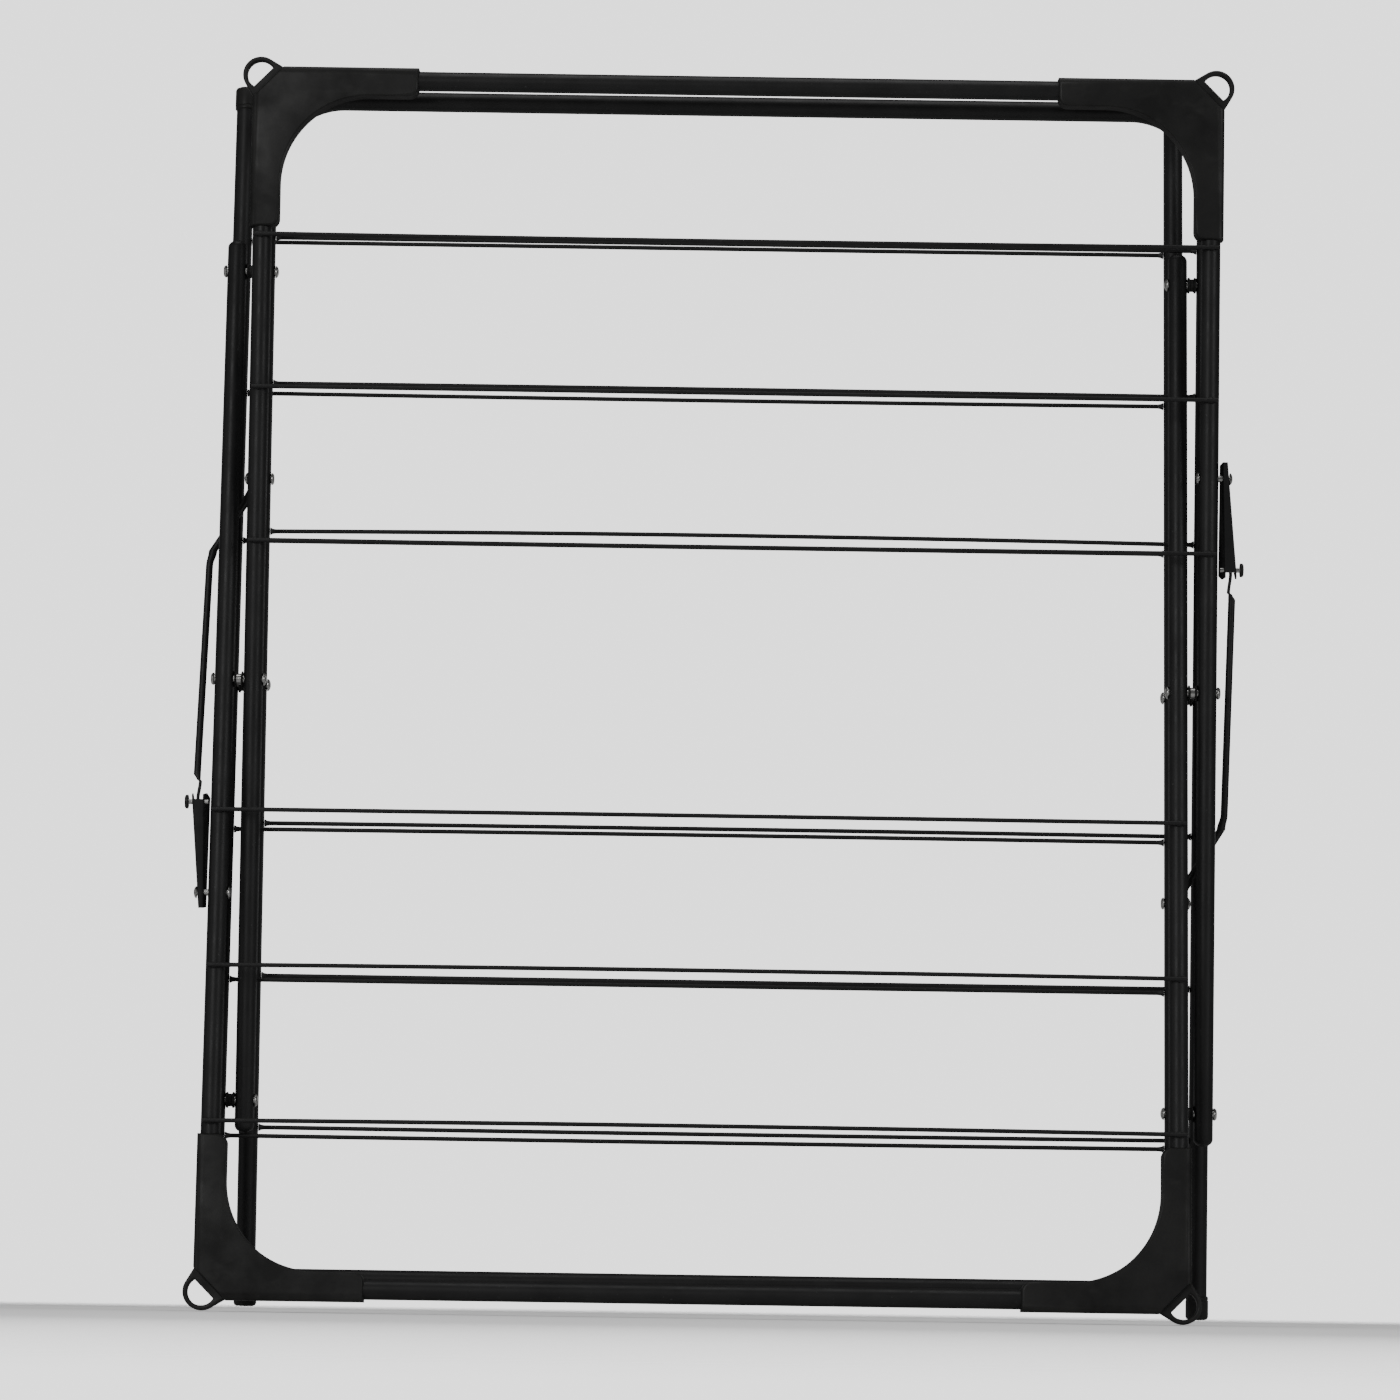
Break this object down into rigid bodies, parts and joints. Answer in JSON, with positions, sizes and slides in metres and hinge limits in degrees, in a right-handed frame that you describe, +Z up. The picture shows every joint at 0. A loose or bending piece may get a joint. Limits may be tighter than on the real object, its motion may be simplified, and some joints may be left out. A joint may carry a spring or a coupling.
{
  "type": "folding clothes drying rack",
  "caption": "Free-standing clothes drying rack of crossed tubular frames with straight wires, folding flat like a lattice, with moulded corners, hanging eyes and sliding side stays.",
  "frame": {"origin": "on the floor under the middle of the folded rack", "axes": "+Z up, +Y to the back, +X to the right seen from the front; all joint axes run along X"},
  "size_m": [0.7846, 0.1041, 0.934],
  "materials": {
    "black_powder_coat": "satin black powder coat",
    "black_plastic": "fine moulded grain",
    "zinc_plated_steel": "bright zinc plate"
  },
  "bodies": {
    "rear_crossing": {"rear_crossing_rivet_left": "zinc_plated_steel", "rear_crossing_rivet_right": "zinc_plated_steel", "rear_crossing_spacer_left": "black_plastic", "rear_crossing_spacer_right": "black_plastic"},
    "rear_standing": {"rear_standing_tube": "black_powder_coat", "rear_standing_wire_1": "black_powder_coat", "rear_standing_wire_2": "black_powder_coat", "rear_standing_wire_3": "black_powder_coat", "rear_standing_wire_4": "black_powder_coat", "rear_standing_wire_5": "black_powder_coat", "rear_standing_wire_6": "black_powder_coat", "rear_standing_cap_left": "black_plastic", "rear_standing_cap_right": "black_plastic", "upper_pivot_rivet_left": "zinc_plated_steel", "upper_pivot_rivet_right": "zinc_plated_steel", "upper_pivot_spacer_left": "black_plastic", "upper_pivot_spacer_right": "black_plastic", "stay_rod_rivet_left": "zinc_plated_steel"},
    "rear_rising": {"rear_rising_tube": "black_powder_coat", "rear_rising_wire_1": "black_powder_coat", "rear_rising_wire_2": "black_powder_coat", "rear_rising_wire_3": "black_powder_coat", "rear_rising_wire_4": "black_powder_coat", "rear_rising_wire_5": "black_powder_coat", "rear_rising_wire_6": "black_powder_coat", "rear_rising_cap_left": "black_plastic", "rear_rising_cap_right": "black_plastic", "lower_pivot_rivet_left": "zinc_plated_steel", "lower_pivot_rivet_right": "zinc_plated_steel", "lower_pivot_spacer_left": "black_plastic", "lower_pivot_spacer_right": "black_plastic", "stay_rod_rivet_right": "zinc_plated_steel"},
    "front_lower": {"front_lower_crossbar": "black_powder_coat", "front_lower_leg_left": "black_powder_coat", "front_lower_leg_right": "black_powder_coat", "front_lower_corner_left": "black_plastic", "front_lower_corner_right": "black_plastic", "front_lower_wire_1": "black_powder_coat", "front_lower_wire_2": "black_powder_coat", "front_lower_wire_3": "black_powder_coat", "front_crossing_rivet_left": "zinc_plated_steel", "front_crossing_spacer_left": "black_plastic", "stay_channel_rivet_left": "zinc_plated_steel"},
    "front_upper": {"front_upper_crossbar": "black_powder_coat", "front_upper_leg_left": "black_powder_coat", "front_upper_leg_right": "black_powder_coat", "front_upper_corner_left": "black_plastic", "front_upper_corner_right": "black_plastic", "front_upper_wire_1": "black_powder_coat", "front_upper_wire_2": "black_powder_coat", "front_upper_wire_3": "black_powder_coat", "front_crossing_rivet_right": "zinc_plated_steel", "front_crossing_spacer_right": "black_plastic", "stay_channel_rivet_right": "zinc_plated_steel"},
    "stay_rod_left": {"stay_rod_left": "black_powder_coat"},
    "stay_channel_left": {"stay_channel_left": "black_powder_coat", "stay_stop_pin_left": "zinc_plated_steel"},
    "stay_rod_right": {"stay_rod_right": "black_powder_coat"},
    "stay_channel_right": {"stay_channel_right": "black_powder_coat", "stay_stop_pin_right": "zinc_plated_steel"}
  },
  "joints": [
    {"name": "rack_open", "type": "hinge", "parent": "rear_crossing", "child": "rear_standing", "pos_m": [0, 0.0175, 0.46712], "axis": [1, 0, 0], "range_deg": [0, 18.63]},
    {"name": "rear_rising_turn", "type": "hinge", "parent": "rear_crossing", "child": "rear_rising", "pos_m": [0, 0.0175, 0.46712], "axis": [1, 0, 0], "range_deg": [-18.65, 0]},
    {"name": "front_lower_turn", "type": "hinge", "parent": "rear_standing", "child": "front_lower", "pos_m": [0, 0, 0.77913], "axis": [1, 0, 0], "range_deg": [-37.28, 0]},
    {"name": "front_upper_turn", "type": "hinge", "parent": "rear_rising", "child": "front_upper", "pos_m": [0, 0, 0.15511], "axis": [1, 0, 0], "range_deg": [0, 37.28]},
    {"name": "stay_rod_left_turn", "type": "hinge", "parent": "rear_standing", "child": "stay_rod_left", "pos_m": [0, 0.00879, 0.62237], "axis": [1, 0, 0], "range_deg": [-50.9, 0]},
    {"name": "stay_channel_left_turn", "type": "hinge", "parent": "front_lower", "child": "stay_channel_left", "pos_m": [0, -0.02649, 0.30687], "axis": [1, 0, 0], "range_deg": [-13.64, 0]},
    {"name": "stay_rod_right_turn", "type": "hinge", "parent": "rear_rising", "child": "stay_rod_right", "pos_m": [0, 0.00879, 0.31186], "axis": [1, 0, 0], "range_deg": [0, 50.9]},
    {"name": "stay_channel_right_turn", "type": "hinge", "parent": "front_upper", "child": "stay_channel_right", "pos_m": [0, -0.02649, 0.62737], "axis": [1, 0, 0], "range_deg": [0, 13.64]}
  ],
  "couplings": [
    {"joint": "rear_rising_turn", "follows": "rack_open", "ratio": -1},
    {"joint": "front_lower_turn", "follows": "rack_open", "ratio": -2},
    {"joint": "front_upper_turn", "follows": "rack_open", "ratio": 2},
    {"joint": "stay_rod_left_turn", "follows": "rack_open", "ratio": -2.7309},
    {"joint": "stay_channel_left_turn", "follows": "rack_open", "ratio": -0.7309},
    {"joint": "stay_rod_right_turn", "follows": "rack_open", "ratio": 2.7309},
    {"joint": "stay_channel_right_turn", "follows": "rack_open", "ratio": 0.7309}
  ]
}
